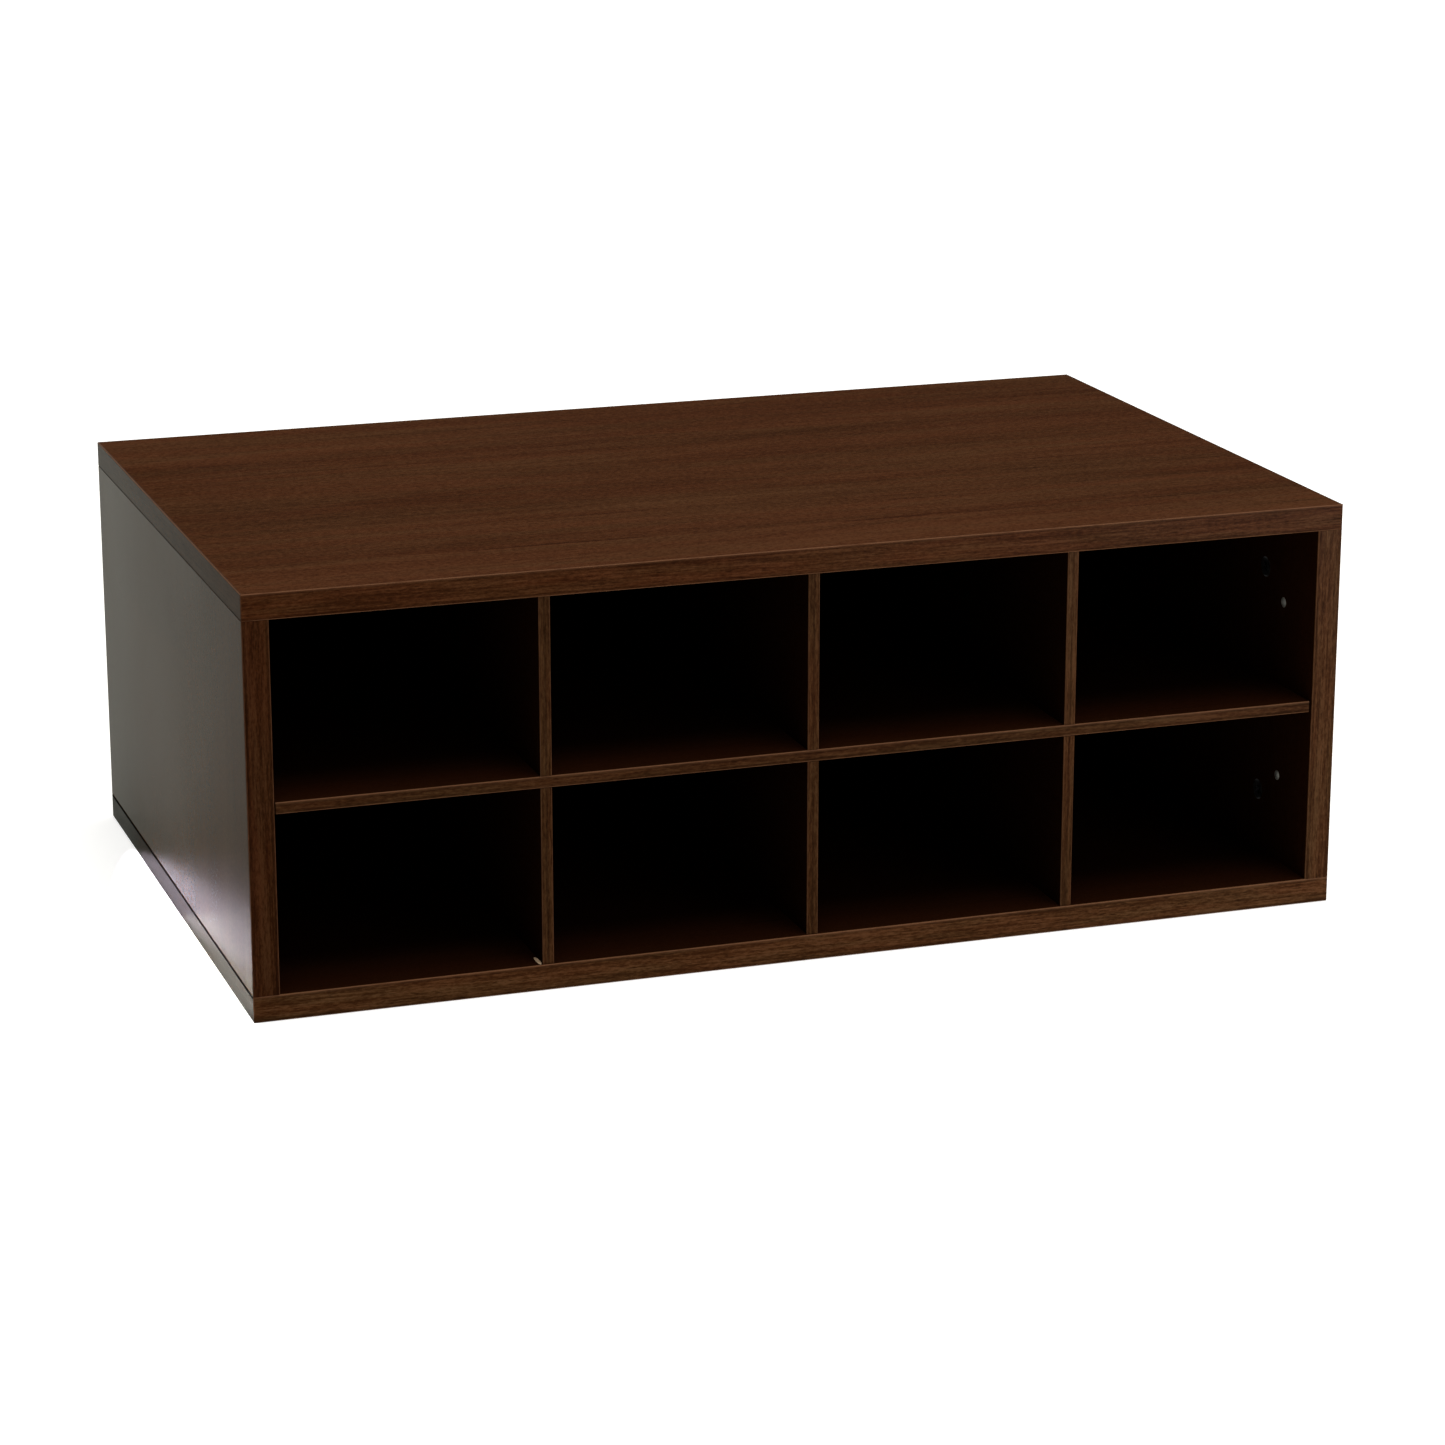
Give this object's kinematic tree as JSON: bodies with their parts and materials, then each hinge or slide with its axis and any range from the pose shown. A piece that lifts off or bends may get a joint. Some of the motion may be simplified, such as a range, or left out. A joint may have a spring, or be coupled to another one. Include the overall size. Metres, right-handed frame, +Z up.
{
  "type": "cube storage unit",
  "caption": "Low open-front storage unit of banded dark wood-grain board, with small cells formed by a slide-out half-lapped grid.",
  "frame": {"origin": "middle of the underside of the bottom panel, on the surface that the unit stands on", "axes": "+Z up, the open front faces -Y, +X to the right when looking in at the front"},
  "size_m": [0.78, 0.48, 0.29],
  "materials": {
    "walnut_board": "satin wood-grain melamine",
    "walnut_edging": "satin wood-grain edging",
    "back_hardboard": "matt printed hardboard",
    "cam_zinc": "die-cast zinc",
    "bolt_steel": "zinc-plated steel",
    "dowel_beech": "raw beech",
    "pin_nickel": "nickel-plated steel"
  },
  "bodies": {
    "carcass": {"top_panel": "walnut_board", "bottom_panel": "walnut_board", "left_side": "walnut_board", "right_side": "walnut_board", "back_panel": "back_hardboard", "top_front_band": "walnut_edging", "top_left_band": "walnut_edging", "top_right_band": "walnut_edging", "bottom_front_band": "walnut_edging", "bottom_left_band": "walnut_edging", "bottom_right_band": "walnut_edging", "left_side_band": "walnut_edging", "right_side_band": "walnut_edging", "left_cam_locks": "cam_zinc", "right_cam_locks": "cam_zinc", "left_cam_bolts": "bolt_steel", "right_cam_bolts": "bolt_steel", "left_dowels": "dowel_beech", "right_dowels": "dowel_beech", "left_wall_pins": "pin_nickel", "right_wall_pins": "pin_nickel"},
    "divider_grid": {"divider_left": "walnut_board", "divider_middle": "walnut_board", "divider_right": "walnut_board", "shelf": "walnut_board", "divider_left_bands": "walnut_edging", "divider_middle_bands": "walnut_edging", "divider_right_bands": "walnut_edging", "shelf_band": "walnut_edging"}
  },
  "joints": [
    {"name": "grid_slide", "type": "slide", "parent": "carcass", "child": "divider_grid", "axis": [0, -1, 0], "range_m": [0, 0.468]}
  ]
}
